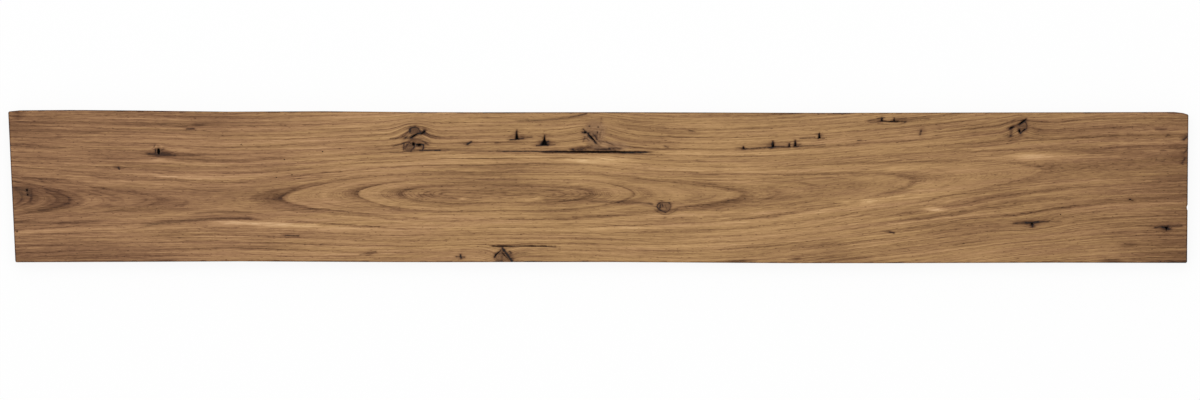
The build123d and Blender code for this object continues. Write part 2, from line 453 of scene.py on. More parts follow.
    (1, 0.8, (155.5, 149), (155.7, 153)),
    (1.9, 0.9, (158.3, 149.5), (158.6, 153.5)),
    (0.9, 0.62, (148, 153.7), (153, 154.2), (158, 154.7), (163, 155.2), (175, 155.5)),
    (0.8, 0.45, (175, 155.3), (200, 155.2)),
    (1, 0.5, (161, 153), (166, 152.5), (170, 154)),
    (0.9, 0.5, (161, 150), (164, 149)),
    (0.8, 0.5, (155, 145), (154, 147)),
    (2.4, 0.2, (150, 153.3), (168, 153.6)),
    (1.3, 0.9, (118.3, 167.2), (119.2, 169.2)),
    (1.5, 0.9, (26.7, 190), (27.3, 191)),
    (1.1, 0.8, (27.3, 194.2), (27.7, 195)),
    (1.6, 0.35, (31, 190), (32, 196), (30.5, 202.5)),
    (3, 0.2, (26, 210.9), (40, 210.5), (47, 210.5)),
    (3.4, 0.12, (41, 208.8), (50, 209), (58, 207), (64.5, 204.8)),
    (3, 0.14, (48, 193.3), (55, 194.8), (62, 197.8), (65.5, 201.2)),
    (5, 0.18, (53, 203), (62, 201)),
    (1.2, 0.25, (70, 199.5), (69, 203)),
    # Long dark lines
    (1.5, 0.3, (13, 222.4), (60, 223), (100, 221)),
    (1.6, 0.22, (10, 130.6), (60, 132.3), (100, 133)),
    (1.8, 0.24, (10, 146), (60, 148)),
    (1.4, 0.18, (10, 136), (60, 138)),
    (0.9, 0.5, (435, 150.4), (470, 150.8), (500, 151.2)),
    (0.9, 0.75, (500, 151.2), (545, 151.5)),
    (1.2, 0.95, (543, 151.8), (570, 152), (600, 152.2), (625, 152.2), (649, 152)),
    (2, 0.3, (550, 150.6), (615, 150.6)),
    (1.2, 0.4, (590, 201.8), (620, 202), (640, 202.8), (652, 204.3)),
    (1.2, 0.38, (520, 120.8), (550, 119.8), (570, 117.3), (586, 113.8)),
    (2.6, 0.32, (145, 225.5), (165, 222.8), (190, 220.2), (215, 219), (250, 217.8)),
    (1.2, 0.25, (195, 213.5), (225, 212), (250, 213)),
    (1.2, 0.35, (620, 153.6), (655, 152.6)),
    (0.9, 0.3, (440, 158.5), (520, 158.8)),
    (1, 0.25, (552, 157), (600, 158.6)),
    (0.8, 0.7, (507, 246.4), (520, 246), (532, 245.8)),
    (0.8, 0.5, (532, 245.8), (556, 247)),
)


# Lines longer than this, in mm, have browned less wood beside them and need no finer grid
LONG_LINE = 45.0
# How far below the face, in mm, stains and marks have faded to about a third
STAIN_DEPTH = 5.0


def drawn_lines():
    """Every stained line as its half width, its darkness and its points on the board."""
    for half_width, dark, *points in STAINED_LINES:
        yield half_width, dark, np.array([on_face(*point) for point in points])


def stained_at(x, y, depth, spread=1.0, skirt=0.0):
    """How stained each place is by the nearest of the lines, from 0 to 1."""
    clean = np.ones(len(x))
    for half_width, dark, points in drawn_lines():
        reach = half_width * spread + skirt * (1.0 if np.ptp(points[:, 0]) < LONG_LINE else 0.3)
        low, high = points.min(axis=0) - 3 * reach, points.max(axis=0) + 3 * reach
        near = np.flatnonzero((x > low[0]) & (x < high[0]) & (y > low[1]) & (y < high[1]))
        away = np.full(len(near), 1e3)
        for start, end in zip(points[:-1], points[1:]):
            run = end - start
            share = ((x[near] - start[0]) * run[0] + (y[near] - start[1]) * run[1]) / (run @ run)
            share = np.clip(share, 0, 1)
            gap = np.hypot(x[near] - start[0] - share * run[0], y[near] - start[1] - share * run[1])
            away = np.minimum(away, gap)
        clean[near] *= 1 - dark * np.exp(-((away / reach) ** 2))
    return (1 - clean) * np.exp(-depth / STAIN_DEPTH)


print("stained lines:", len(list(drawn_lines())))

# %% [markdown]
# ## Soft marks
#
# Old wood is never one tone. Sap, iron, water and sun leave soft dark places, and where the
# fibres tilt the plane leaves bright flecks. Each is a soft oval on the face. The ends have
# drunk the most water and dirt, so they are darker, and the left end is ruddier.

# %% The marks on the face
# x, y, half length and half width in mm, and how much darker (or, below nought, lighter)
MARKS = (
    (-882, -8, 16, 16, 0.30), (-826, -22, 24, 13, 0.13), (-858, -14, 46, 22, 0.13),
    (-8, 87, 13, 15, 0.16), (-889, 110, 8, 7, 0.45), (-669, 49.5, 20, 3.5, 0.30),
    (4, 59, 32, 5, 0.42), (-281, 74, 26, 20, 0.20), (-330, 56, 34, 6, 0.15),
    (-122, 75, 14, 7, 0.18), (-81, 68, 13, 6, 0.20), (280, 62, 74, 4, 0.18),
    (451, 101, 36, 5, 0.14), (443, 102.7, 5, 1.1, -0.30), (445, 97.3, 16, 1, -0.45),
    (664, -55, 20, 4, 0.18), (866, -61, 24, 6, 0.22), (813, -89, 14, 4, 0.35),
    (784, -113.5, 14, 3, 0.60), (217, -114, 18, 3, 0.45), (-670, -113.5, 24, 3, 0.45),
    (362, -110, 60, 7, 0.20), (354, -89, 26, 7, 0.18), (884, 45, 18, 24, 0.10),
    (-631, -55, 46, 4, 0.20), (-350, -101, 12, 3.5, 0.22), (-752, -29.5, 13, 2.0, 0.50),
    (-688, -20, 24, 7, 0.16), (62, 88, 62, 28, 0.12), (627, 8, 1.8, 1.6, 0.60),
    (75, -68, 4, 1.4, 0.45), (495, -50, 30, 9, 0.15), (520, -36, 24, 9, 0.12),
    (-120, -10.5, 130, 11, 0.20), (235, -10, 30, 10, -0.30), (492, 5, 30, 8, -0.35),
    (305, -7, 18, 6, -0.22), (395, 1, 26, 6, 0.10), (302, -110, 9, 3.5, 0.45),
    (-563, -19, 60, 14, -0.15), (-1.3, 41.5, 54, 5.6, -0.56), (860, 57, 40, 3.5, -0.20),
    (-104, 45.6, 46, 2.4, -0.28), (-225, 47, 30, 5, -0.15), (-570, -54.5, 36, 3.8, -0.45),
    (-515, -55.5, 40, 4.2, -0.50), (-460, -58.5, 40, 3.6, -0.45), (-395, -62, 45, 3, -0.36),
    (-300, -63.5, 60, 2.6, -0.30), (-205, -62.5, 60, 2.4, -0.24), (178, -49, 42, 4, -0.25),
    (262, -40, 52, 4, -0.19), (379, -22.5, 13, 4, -0.40), (409.5, -21, 12, 5, -0.46),
    (514, -34.5, 15, 3, -1.00), (660.5, 46.5, 30, 4.5, -0.50), (415, 29, 42, 2.4, -0.22),
    (676, -2.6, 22, 1.5, -0.25), (844, 18.8, 26, 2, -0.25), (-207, -18, 6, 1.8, -0.56),
    (-105, -19.5, 17, 2, -0.37), (-94, -17, 4, 2.6, -0.50), (-31, 4.3, 13, 1.4, -0.37),
    (-669, 62.5, 4, 1.6, -0.42), (-677, 62, 2.5, 1.6, -0.30), (-636, 56, 20, 4, -0.15),
    (-668, 41.5, 24, 2.4, -0.48), (-733, 24.5, 3, 2.4, -0.43), (-876.5, -8.5, 2.5, 2.0, -0.50),
    (-764, 91.5, 2.5, 7, -0.22), (-788, -24, 2, 34, -0.10), (-765, -54, 2, 14, -0.12),
    (335, 77, 3, 2.6, -0.37),
)
# How much darker and how much ruddier the wood has weathered along the board
WEATHER_PLACES = (-905, -846, -716, -495, -189, 0, 270, 500, 737, 844, 905)
WEATHER_DARK = (0.15, 0.135, 0.10, 0.07, 0.0, 0.0, 0.02, 0.02, 0.11, 0.14, 0.17)
WEATHER_RUDDY = (1.0, 1.0, 0.9, 0.6, 0.1, 0.0, 0.0, 0.1, 0.3, 0.35, 0.4)


def marks_at(x, y, depth):
    """The sum of the soft marks at each place. They fade away below the face."""
    total = np.zeros(len(x))
    for mark_x, mark_y, half_length, half_width, amount in MARKS:
        away = ((x - mark_x) / half_length) ** 2 + ((y - mark_y) / half_width) ** 2
        total += amount * np.exp(-(away**1.3))
    return total * np.exp(-depth / STAIN_DEPTH)


dark_marks = sum(mark[4] > 0 for mark in MARKS)
print("dark marks:", dark_marks, "bright flecks:", len(MARKS) - dark_marks)

# %% [markdown]
# ## The plank as a fine mesh
#
# The CAD plank has large flat faces with few corners. The rings and stains are kept on the
# mesh's corners, so the mesh needs corners every few millimetres. We could subdivide, but
# that would bend the pockets' outlines. Bisecting with parallel planes rules a grid over any
# shape without changing it, as ruling pencil lines over a board does. Round a knot the rings
# turn within a few millimetres, so the grid is ruled finer there, and finer again under the
# stained lines.

# %% Copy the CAD plank
bpy.ops.object.select_all(action="DESELECT")
plank = bpy.data.objects.new("plank", cad_board.data.copy())
bpy.context.scene.collection.objects.link(plank)
plank.select_set(True)
bpy.context.view_layer.objects.active = plank
bpy.ops.object.mode_set(mode="EDIT")
bpy.ops.mesh.select_mode(type="FACE")
bpy.ops.mesh.select_all(action="SELECT")
bpy.ops.mesh.remove_doubles(threshold=0.02 * MM)
bpy.ops.mesh.dissolve_limited(angle_limit=math.radians(0.1))
bpy.ops.object.mode_set(mode="OBJECT")
print("corners of the merged copy:", len(plank.data.vertices))


# %% Rule the grid
def face_places(mesh):
    """The middle of each face in mm, one row each."""
    places = np.empty(len(mesh.polygons) * 3)
    mesh.polygons.foreach_get("center", places)
    return places.reshape(-1, 3) / MM


def select_where(piece, wanted):
    """In edit mode, selects the wanted faces alone."""
    bpy.ops.mesh.select_all(action="DESELECT")
    bpy.ops.object.mode_set(mode="OBJECT")
    piece.data.polygons.foreach_set("select", wanted(face_places(piece.data)))
    bpy.ops.object.mode_set(mode="EDIT")


def rule(axis, places):
    """Cuts what is shown with planes across the axis, at these places in mm."""
    normal = [0.0, 0.0, 0.0]
    normal[axis] = 1.0
    for place in places:
        bpy.ops.mesh.select_all(action="SELECT")
        bpy.ops.mesh.bisect(plane_co=[place * MM * share for share in normal], plane_no=normal)


COLUMN_STEP = 8.0
ROW_STEP = 1.75
bpy.ops.object.mode_set(mode="EDIT")
rule(2, (6.0, 12.0, 18.0, 24.0))
rule(1, np.arange(-16, 17) * 4 * ROW_STEP)
rule(0, np.arange(-112, 113) * COLUMN_STEP)
# Only the face and the upper part of the sides get the close rows
select_where(plank, lambda at: at[:, 2] > 20)
bpy.ops.mesh.hide(unselected=True)
rule(1, [row * ROW_STEP for row in range(-66, 67) if row % 4])
bpy.ops.mesh.reveal(select=False)
bpy.ops.object.mode_set(mode="OBJECT")
print("faces after ruling:", len(plank.data.polygons))

# %% Rule it finer round the knots and the stained lines
FINE_STEP = COLUMN_STEP / 4
line_zones = [
    (*(points.min(axis=0) - 2.5), *(points.max(axis=0) + 2.5))
    for _, _, points in drawn_lines()
    if np.ptp(points[:, 0]) < LONG_LINE
]
knot_zones = [
    (x - 1.3 * w, y - 1.3 * h, x + 1.3 * w, y + 1.3 * h)
    for x, y, _, _, _, w, h, cover, _ in KNOTS.values()
    if cover > 0
]


def in_zones(zones):
    """A test for places on the face that lie in one of the zones."""

    def inside(at):
        near = np.zeros(len(at), bool)
        for low_x, low_y, high_x, high_y in zones:
            near |= (at[:, 0] > low_x) & (at[:, 0] < high_x) & (at[:, 1] > low_y) & (at[:, 1] < high_y)
        return near & (at[:, 2] > board_thickness - 1)

    return inside


bpy.ops.object.mode_set(mode="EDIT")
select_where(plank, in_zones(line_zones + knot_zones))
bpy.ops.mesh.hide(unselected=True)
columns = {
    column
    for low, _, high, _ in line_zones + knot_zones
    for column in range(math.floor(low / FINE_STEP), math.ceil(high / FINE_STEP) + 1)
}
rule(0, [column * FINE_STEP for column in sorted(columns) if column % 4])
bpy.ops.mesh.reveal(select=False)
select_where(plank, in_zones(line_zones))
bpy.ops.mesh.subdivide(number_cuts=1)
bpy.ops.mesh.select_all(action="SELECT")
bpy.ops.mesh.remove_doubles(threshold=0.01 * MM)
bpy.ops.object.mode_set(mode="OBJECT")
print("faces after the finer grid:", len(plank.data.polygons))

# %% [markdown]
# ## What each corner of the mesh knows
#
# Each corner keeps a few numbers that the material reads: how many rings lie inside it, its
# place in the flow of the fibres, how near it is to a knot, a pocket and an edge, and how
# stained it is. They are attributes, which stay with the mesh when it is exported.

# %% Work out the attributes
mesh = plank.data
places = np.empty(len(mesh.vertices) * 3)
mesh.vertices.foreach_get("co", places)
places = places.reshape(-1, 3) / MM
normals = np.empty(len(mesh.vertices) * 3)
mesh.vertices.foreach_get("normal", normals)
normals = normals.reshape(-1, 3)
edges = np.empty(len(mesh.edges) * 2, np.int32)
mesh.edges.foreach_get("vertices", edges)
edges = edges.reshape(-1, 2)
x, y, z = places.T
depth = board_thickness - z

from_pith = across_from_pith(x, pushed_across(x, y, depth))
above_pith = between_stations(x, 3) - depth
from_heart = np.hypot(from_pith, above_pith)
ring_count = np.interp(from_heart, ring_radii, range(len(ring_radii)))
knot_reach, knot_cover, knot_pale = nearest_knot(x, y, depth)
print("rings on the board:", round(ring_count.min(), 1), "to", round(ring_count.max(), 1))


# %% Find the sides and the pockets
# How far from the board's middle the long sides and the ends begin, and how far each end's
# side reaches in: the left end is the more out of square
LONG_SIDES_FROM = 108.0
ENDS_FROM = 880.0
LEFT_END_REACH = 14.0
RIGHT_END_REACH = 6.0
# A corner of the mesh less far down than the first is on the face, and no pocket is as deep
# as the second
FACE_SLACK = 0.15
BELOW_POCKETS = 13.0


def distance_to(wanted, flat=False):
    """The distance from each corner of the mesh to the nearest of the wanted ones, in mm."""
    spots = places * (1, 1, 0) if flat else places
    tree = KDTree(int(wanted.sum()))
    for index in np.flatnonzero(wanted):
        tree.insert(spots[index], index)
    tree.balance()
    return np.array([tree.find(spot)[2] for spot in spots])


cad_low, cad_high = (np.array(corner) / MM for corner in cad_bounds)
at_end = (x < cad_low[0] + LEFT_END_REACH) | (x > cad_high[0] - RIGHT_END_REACH)
near_edge = (np.abs(y) > LONG_SIDES_FROM) | at_end
on_side = (np.abs(normals[:, 2]) < 0.3) & near_edge
to_side = distance_to(on_side, flat=True)
on_end = on_side & (np.abs(normals[:, 0]) > 0.6) & (np.abs(x) > ENDS_FROM)
to_end = distance_to(on_end, flat=True)
in_pocket = (depth > FACE_SLACK) & (depth < BELOW_POCKETS) & (to_side > 3.0)
flight_hole_floors = distance_to(in_pocket & (depth > 10), flat=True) < 2
# The mouth of a pocket is the face's corners that have an edge down into it
goes_down = in_pocket[edges].any(axis=1)
in_pocket[edges[goes_down].ravel()] = True
to_pocket = distance_to(in_pocket & ~flight_hole_floors)
print("corners on the sides:", int(on_side.sum()), "in pockets:", int(in_pocket.sum()))


# %% Keep them on the mesh
def keep(name, values):
    """Stores one number for each corner of the plank."""
    attribute = mesh.attributes.new(name, "FLOAT", "POINT")
    attribute.data.foreach_set("value", np.ascontiguousarray(values, dtype=np.float32))


keep("ring_count", ring_count)
keep("knot_reach", knot_reach)
keep("knot_cover", knot_cover)
keep("knot_pale", knot_pale)
keep("stained", stained_at(x, y, depth))
keep("browned", stained_at(x, y, depth, spread=1.7, skirt=0.9))
keep("marks", marks_at(x, y, depth))
keep("weather", np.interp(x, WEATHER_PLACES, WEATHER_DARK))
keep("ruddy", np.interp(x, WEATHER_PLACES, WEATHER_RUDDY))
keep("in_pocket", in_pocket)
keep("to_pocket", np.clip(to_pocket, 0, 20))
keep("to_side", np.clip(to_side, 0, 20))
keep("end_grain", np.clip(1.5 - to_end, 0, 1) * (np.abs(normals[:, 0]) > 0.5))
keep("ray_angle", np.arctan2(from_pith, above_pith) * 100)
grain = mesh.attributes.new("grain_mm", "FLOAT_VECTOR", "POINT")
grain.data.foreach_set("vector", np.stack([x, from_pith, z], axis=1).astype(np.float32).ravel())
print("the plank has", sum(len(face.vertices) - 2 for face in mesh.polygons), "triangles")

# %% [markdown]
# ## A surface that was planed by hand
#
# A hand plane leaves shallow hollows, a tenth of a millimetre deep, side by side along the
# board, and handling has rounded the mouths of the checks and holes. Real geometry catches
# the light at a low angle in a way that bump can't, so the corners themselves move down.

# %% Plane the face
PLANE_WIDTH = 42.0
PLANE_HOLLOW = 0.12
MOUTH_WEAR = 0.35
MOUTH_REACH = 2.2
strokes = 0.5 + 0.5 * np.cos(2 * math.pi * (y + 6 * np.sin(x / 170)) / PLANE_WIDTH)
fade = 0.6 + 0.4 * np.sin(x / 95 + y / 21)
lowered = PLANE_HOLLOW * strokes * fade + MOUTH_WEAR * np.exp(-((to_pocket / MOUTH_REACH) ** 2))
lowered *= np.clip((to_side - 2.5) / 5, 0, 1) * (depth < FACE_SLACK)
places[:, 2] -= lowered
mesh.vertices.foreach_set("co", (places * MM).ravel())
mesh.update()
bpy.ops.object.shade_smooth_by_angle(angle=math.radians(35))
print("deepest hollow in the face:", round(float(lowered.max()), 2), "mm")

# %% [markdown]
# ## Materials: two helpers
#
# Colours are written as a painter's hex values, which are sRGB, and Blender's shaders want
# linear light, so one function turns one into the other. The other adds a node.


# %% Colour and node helpers
def linear(hex_colour):
    """An sRGB hex colour as linear red, green, blue and alpha."""
    colour = []
    for k in (0, 2, 4):
        share = int(hex_colour[k : k + 2], 16) / 255
        colour.append(share / 12.92 if share <= 0.04045 else ((share + 0.055) / 1.055) ** 2.4)
    return colour + [1.0]


def add(tree, kind, inputs=(), **settings):
    """Adds a node. An input is a plain value, a node or a node's output."""
    node = tree.nodes.new("ShaderNode" + kind)
    for name, value in settings.items():
        setattr(node, name, value)
    pairs = inputs.items() if isinstance(inputs, dict) else enumerate(inputs)
    for name, value in pairs:
        if isinstance(value, bpy.types.Node):
            value = value.outputs[0]
        if isinstance(value, bpy.types.NodeSocket):
            tree.links.new(value, node.inputs[name])
        elif value is not None:
            node.inputs[name].default_value = value
    return node


def fill_ramp(ramp, stops, interpolation="LINEAR"):
    """Sets a colour ramp's stops, each a place and a colour or a grey level."""
    ramp.color_ramp.interpolation = interpolation
    elements = ramp.color_ramp.elements
    while len(elements) > 1:
        elements.remove(elements[-1])
    for number, (place, colour) in enumerate(stops):
        element = elements[0] if number == 0 else elements.new(place)
        element.position = place
        element.color = colour if isinstance(colour, (list, tuple)) else (colour, colour, colour, 1.0)
    return ramp.outputs[0]


print("middle grey in linear light:", round(linear("808080")[0], 3))

# %% [markdown]
# ## The wood: oiled, hand-planed elm
#
# Elm is ring-porous. Each ring starts with a line of wide spring vessels, dark where the oil
# and old dirt sit in them, and goes on in denser, paler wood. Oil warms it all to a golden
# brown. The material first works out one number, the tone, from 0 for the darkest line to
# 1 for the palest fleck, and one ramp turns that into elm's colours.

# %% Start the elm
elm = bpy.data.materials.new("oiled_hand_planed_elm")
elm.use_nodes = True
tree = elm.node_tree
tree.nodes.clear()
grain_mm = add(tree, "Attribute", attribute_name="grain_mm").outputs["Vector"]
known = {
    name: add(tree, "Attribute", attribute_name=name).outputs["Fac"]
    for name in (
        "ring_count", "knot_reach", "knot_cover", "knot_pale", "stained", "browned", "marks",
        "weather", "ruddy", "in_pocket", "to_pocket", "to_side", "end_grain", "ray_angle",
    )
}


def maths(operation, *values):
    """One step of arithmetic on the tree, and its result."""
    return add(tree, "Math", values, operation=operation).outputs[0]


def noise_on(vector, shrink, lift, detail, roughness):
    """Smooth noise, from about -0.3 to 0.3, on a vector that is first shrunk and lifted."""
    stretched = add(tree, "VectorMath", [vector, shrink, (lift, lift, lift)], operation="MULTIPLY_ADD")
    looks = {"Vector": stretched, "Scale": 1.0, "Detail": detail, "Roughness": roughness}
    noise = add(tree, "TexNoise", looks)
    return maths("SUBTRACT", noise, 0.5)


def fibres(length, width, lift, detail=2.0, roughness=0.6):
    """Noise drawn out along the grain: its marks are about this long and wide, in mm."""
    return noise_on(grain_mm, (1 / length, 1 / width, 1 / width), lift, detail, roughness)


def soft_step(value, start, end):
    """A smooth change from 0 to 1 while the value goes from start to end."""
    return add(tree, "MapRange", [value, start, end, 0.0, 1.0], interpolation_type="SMOOTHSTEP").outputs[0]


def blend(share, under, over):
    """The colour that goes from under to over as the share goes from 0 to 1."""
    return add(tree, "Mix", {0: share, 6: under, 7: over}, data_type="RGBA").outputs[2]


print("numbers that the elm reads:", len(known))

# %% Rings that waver
flow = add(tree, "SeparateXYZ", [grain_mm])
off_pith = maths("ABSOLUTE", flow.outputs[1])
# Where the face runs along a ring, a waver would tear its arch to islands, so it is small
low_angle = soft_step(off_pith, 24.0, 3.0)
waver_size = maths("MULTIPLY_ADD", soft_step(off_pith, 3.0, 40.0), 0.93, 0.07)
slow_waver = maths("MULTIPLY", fibres(160, 20, lift=3.1), 0.55)
waver = maths("MULTIPLY_ADD", fibres(26, 4.5, lift=8.7, detail=3.0), 0.45, slow_waver)
wavered = maths("MULTIPLY_ADD", waver, waver_size, known["ring_count"])
ring_share = maths("FRACT", wavered)
ring_index = maths("DIVIDE", maths("FLOOR", wavered), len(RING_TRAITS))
ring_table = add(tree, "ValToRGB", [ring_index])
ring_stops = [
    (max(0.0, (k - 0.5) / len(RING_TRAITS)), (dark, pale, 0.0, 1.0))
    for k, (dark, pale) in enumerate(RING_TRAITS)
]
ring_traits = add(tree, "SeparateColor", [fill_ramp(ring_table, ring_stops, "CONSTANT")])
spring_line = fill_ramp(
    add(tree, "ValToRGB", [ring_share]),
    [
        (0.0, 1.0), (0.03, 0.95), (0.09, 0.60), (0.2, 0.35), (0.34, 0.1),
        (0.5, 0.0), (0.93, 0.0), (0.985, 0.35), (1.0, 0.8),
    ],
)
summer_band = fill_ramp(
    add(tree, "ValToRGB", [ring_share]),
    [(0.12, 0.0), (0.3, 1.0), (0.5, 0.7), (0.85, 0.1), (0.98, 0.0)],
)
# Along the board a ring's line comes and goes
line_fades = maths("MULTIPLY_ADD", fibres(380, 10, lift=5.3), 2.6, 0.75)
band_fades = maths("MULTIPLY_ADD", fibres(420, 12, lift=1.7), 2.6, 0.6)
line_strength = maths("MULTIPLY_ADD", low_angle, 0.5, maths("MAXIMUM", line_fades, 0.1))
# Towards both ends, and right of the middle, the lines are softer
left_end = soft_step(flow.outputs[0], -560.0, -680.0)
calm = maths("MULTIPLY_ADD", left_end, -0.32, 1.0)
for start, end, softer in ((-690.0, -770.0, -0.15), (60.0, 220.0, -0.25), (600.0, 800.0, -0.2)):
    calm = maths("MULTIPLY_ADD", soft_step(flow.outputs[0], start, end), softer, calm)
line_strength = maths("MULTIPLY", line_strength, calm)
band_strength = maths("MULTIPLY_ADD", low_angle, -0.7, maths("MAXIMUM", band_fades, 0.0))
spring_dark = maths("MULTIPLY", maths("MULTIPLY", spring_line, ring_traits.outputs[0]), line_strength)
summer_pale = maths("MULTIPLY", maths("MULTIPLY", summer_band, ring_traits.outputs[1]), band_strength)
print("rings with their own look:", len(ring_stops))

# %% [markdown]
# ### Layers, fibres and vessels
#
# Inside a ring, elm lays down fine wavy layers that run with the ring, while its fibres run
# with the pith. Its vessels are 0.2 to 0.3 mm wide and cut lengthwise into dashes. That is
# finer than the picture can show, so here they are drawn three times as wide.

# %% Layers, fibres and vessels
ring_flow = add(tree, "CombineXYZ", [flow.outputs[0], wavered, flow.outputs[1]])
wide_layers = noise_on(ring_flow, (1 / 420, 2.6, 1 / 90), 2.6, 1.0, 0.5)
fine_layers = noise_on(ring_flow, (1 / 180, 7.5, 1 / 60), 7.3, 1.0, 0.5)
# The long tongue at the right is almost plain inside
plain = maths("MULTIPLY", soft_step(flow.outputs[0], 250.0, 400.0), low_angle)
layer_share = maths("MULTIPLY_ADD", plain, -0.65, 1.0)
wide_layers = maths("MULTIPLY", wide_layers, layer_share)
fine_layers = maths("MULTIPLY", fine_layers, layer_share)
# A thin dark line runs where a slow noise crosses nought, and comes and goes along the board
slow_layers = maths("ABSOLUTE", noise_on(ring_flow, (1 / 330, 3.4, 1 / 70), 8.2, 1.0, 0.5))
thread_lines = soft_step(slow_layers, 0.045, 0.0)
thread_fades = maths("MAXIMUM", maths("MULTIPLY_ADD", fibres(120, 7, lift=3.3), 3.4, 0.45), 0.0)
threads = maths("MULTIPLY", maths("MULTIPLY", thread_lines, thread_fades), layer_share)
long_streaks = fibres(420, 1.9, lift=2.2, detail=3.0, roughness=0.7)
middling_streaks = fibres(70, 1.5, lift=4.9)
short_streaks = fibres(14, 0.9, lift=6.4, detail=3.0, roughness=0.65)
wide_bands = fibres(480, 9, lift=0.4)
clouds = fibres(230, 42, lift=9.9)
vessels = maths("GREATER_THAN", fibres(9, 0.8, lift=4.4, detail=1.0), 0.11)
vessel_share = maths("MULTIPLY", maths("MULTIPLY_ADD", spring_line, 0.8, 0.2), vessels)
# Here and there a vessel has broken out and holds dirt
pores = soft_step(fibres(6, 1.7, lift=12.3, detail=0.0), 0.25, 0.30)

# At a low angle the fibres hardly show, and the layers draw thin lines one inside another
streaks = maths("MULTIPLY", long_streaks, 0.50)
for pattern, strength in (
    (middling_streaks, 0.30),
    (wide_bands, 0.12),
    (summer_pale, 0.18),
):
    streaks = maths("MULTIPLY_ADD", pattern, strength, streaks)
streaks = maths("MULTIPLY", streaks, maths("MULTIPLY_ADD", low_angle, -0.55, 1.0))
arch_wave = maths("MULTIPLY_ADD", fibres(60, 6, lift=6.8), 6.0, maths("MULTIPLY", wavered, 150.0))
arch_wave = maths("MULTIPLY_ADD", fibres(9, 2.2, lift=10.4), 4.5, arch_wave)
arch_fades = maths("MAXIMUM", maths("MULTIPLY_ADD", fibres(45, 5, lift=11.6), 3.6, 0.7), 0.0)
arch_lines = maths("MULTIPLY", soft_step(maths("SINE", arch_wave), 0.1, 1.0), arch_fades)
# They are darkest in the eye, where the face comes near to the pith
eye = soft_step(known["ring_count"], 10.0, 9.3)
arch_lines = maths("MULTIPLY", arch_lines, maths("MULTIPLY_ADD", eye, 0.11, 0.05))
eye_dashes = soft_step(fibres(22, 1.3, lift=8.1, detail=1.0), 0.04, 0.22)
arch_lines = maths("MULTIPLY_ADD", maths("MULTIPLY", eye_dashes, eye), 0.17, arch_lines)
arch_lines = maths("MULTIPLY", arch_lines, low_angle)
# At the left end and on the underside the rings come out more steeply, so they all but vanish
arch_lines = maths("MULTIPLY", arch_lines, maths("MULTIPLY_ADD", left_end, -0.85, 1.0))
depth_mm = maths("SUBTRACT", board_thickness, flow.outputs[2])
below_arris = soft_step(depth_mm, 3.0, 9.0)
arch_lines = maths("MULTIPLY", arch_lines, maths("MULTIPLY_ADD", below_arris, -0.85, 1.0))

tone = maths("MULTIPLY_ADD", spring_dark, -0.21, 0.548)
for pattern, strength in (
    (streaks, 1.0),
    (arch_lines, -1.0),
    (wide_layers, 0.14),
    (fine_layers, 0.27),
    (short_streaks, 0.52),
    (clouds, 0.36),
    (threads, -0.15),
    (vessel_share, -0.18),
    (pores, -0.22),
):
    tone = maths("MULTIPLY_ADD", pattern, strength, tone)
print("nodes up to the fibres:", len(tree.nodes))

# %% [markdown]
# ### Age
#
# The weathered ends, the soft marks, the wood round each hole and the handled edges all pull
# the tone down; along the edges that darkening is both handling dirt and painted shade of the
# rounded arris. The fibres tear the marks, as they draw the stain along.

# %% Ends, marks, mouths and edges
mark_tears = maths("MULTIPLY_ADD", fibres(30, 1.8, lift=7.7, detail=3.0), 3.0, 1.0)
edge_tears = maths("MULTIPLY_ADD", fibres(60, 3.0, lift=3.8), 2.5, 0.9)
# Painted shade of the rounded arris, with handling dirt, darkens the last few mm to each edge
edge_dirt_and_shade = maths("MULTIPLY", soft_step(known["to_side"], 2.8, 0.4), edge_tears)
# Handling dirt and painted shade darken the arris more than the side below it
edge_dirt_and_shade = maths("MULTIPLY", edge_dirt_and_shade, maths("MULTIPLY_ADD", below_arris, -0.6, 1.0))
ray_places = add(tree, "CombineXYZ", [known["ray_angle"], flow.outputs[2], 0.0])
end_rays = noise_on(ray_places, (0.9, 0.02, 1.0), 1.3, 2.0, 0.6)
for pattern, strength in (
    (known["weather"], -1.0),
    (maths("MULTIPLY", known["marks"], mark_tears), -0.45),
    (maths("MULTIPLY", known["browned"], mark_tears), -0.22),
    (soft_step(known["to_pocket"], 2.2, 0.0), -0.15),
    (edge_dirt_and_shade, -0.16),
    (maths("MULTIPLY", known["end_grain"], maths("MULTIPLY_ADD", end_rays, 1.4, -0.3)), 0.35),
):
    tone = maths("MULTIPLY_ADD", pattern, strength, tone)
print("nodes up to the tone:", len(tree.nodes))

# %% [markdown]
# ### From the tone to elm's colours
#
# The picture shows the wood's own colour times the light on it, plus a little white shine.
# What it should show is known from the photograph, so each stop of a ramp takes the shine off
# and then the light. The ends are less yellow than the middle.

# %% Two ramps over the tone
LIGHT_ON_FACE = 0.92
SHINE_ON_FACE = 0.012
# From the darkest line to the palest fleck. The photograph's dark, middle and light wood are
# at 0.39, 0.53 and 0.69.
TONE_PLACES = (0.0, 0.15, 0.30, 0.39, 0.53, 0.69, 0.80, 1.0)


def wood_ramp(*shown):
    """A ramp over the tone, from the colours that the picture should show at its places."""
    stops = []
    for place, hex_colour in zip(TONE_PLACES, shown):
        own = [max(0.0, part - SHINE_ON_FACE) / LIGHT_ON_FACE for part in linear(hex_colour)[:3]]
        stops.append((place, (*own, 1.0)))
    return fill_ramp(add(tree, "ValToRGB", [tone]), stops)


golden = wood_ramp("362822", "563c28", "755539", "866444", "a17d54", "b79063", "c59f70", "dcb88a")
ruddy = wood_ramp("382823", "583c2b", "77553d", "886448", "a17a57", "b68d68", "c49c76", "dbb68f")
ruddy_share = maths("MULTIPLY_ADD", fibres(150, 9, lift=5.9), 2.2, known["ruddy"])
elm_colours = blend(soft_step(ruddy_share, -0.3, 1.2), golden, ruddy)
print("stops in each ramp:", len(TONE_PLACES))
